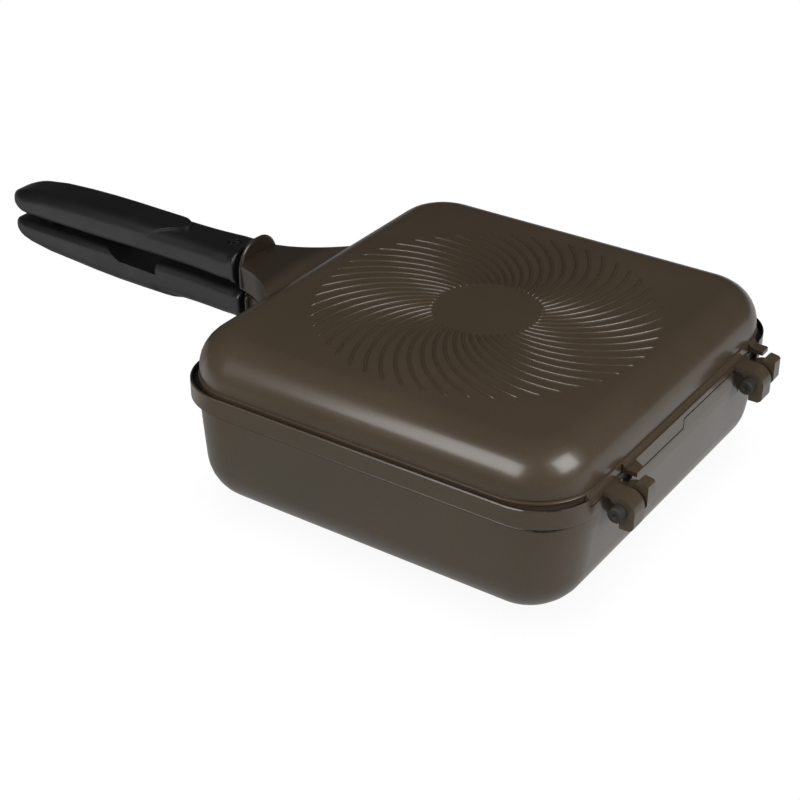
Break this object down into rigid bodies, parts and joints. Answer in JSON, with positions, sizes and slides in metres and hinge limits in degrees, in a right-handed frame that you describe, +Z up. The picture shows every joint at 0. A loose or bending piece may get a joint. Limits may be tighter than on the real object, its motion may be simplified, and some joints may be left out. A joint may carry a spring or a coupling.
{
  "type": "double sided flip pan",
  "caption": "Square double-sided flip pan: a deep pan and a shallow lid pan on hook-and-pin hinges, each with half of a long black handle.",
  "frame": {"origin": "middle of the lower pan's flat base, on the ground", "axes": "+Z up, +X towards the hinges, the handles run to -X, the hinge axis is parallel to Y"},
  "size_m": [0.4539, 0.233, 0.092],
  "materials": {
    "pan_coating": "satin non-stick coating on cast aluminium",
    "lid_coating": "satin non-stick coating on cast aluminium",
    "seal": "matt silicone",
    "pin_steel": "dull turned steel",
    "grip": "semi-gloss phenolic",
    "screw_steel": "plated steel",
    "magnet": "black plated magnet"
  },
  "bodies": {
    "lower": {"lower_pan": "pan_coating", "near_hinge_pin": "pin_steel", "far_hinge_pin": "pin_steel", "lower_grip": "grip", "lower_grip_screw": "screw_steel", "lower_magnet": "magnet"},
    "lid": {"upper_pan": "lid_coating", "rim_seal": "seal", "upper_grip": "grip", "upper_grip_screw": "screw_steel", "upper_magnet": "magnet"}
  },
  "joints": [
    {"name": "lid_hinge", "type": "hinge", "parent": "lower", "child": "lid", "pos_m": [0.121, 0, 0.0587], "axis": [0, 1, 0], "range_deg": [0, 100]}
  ]
}
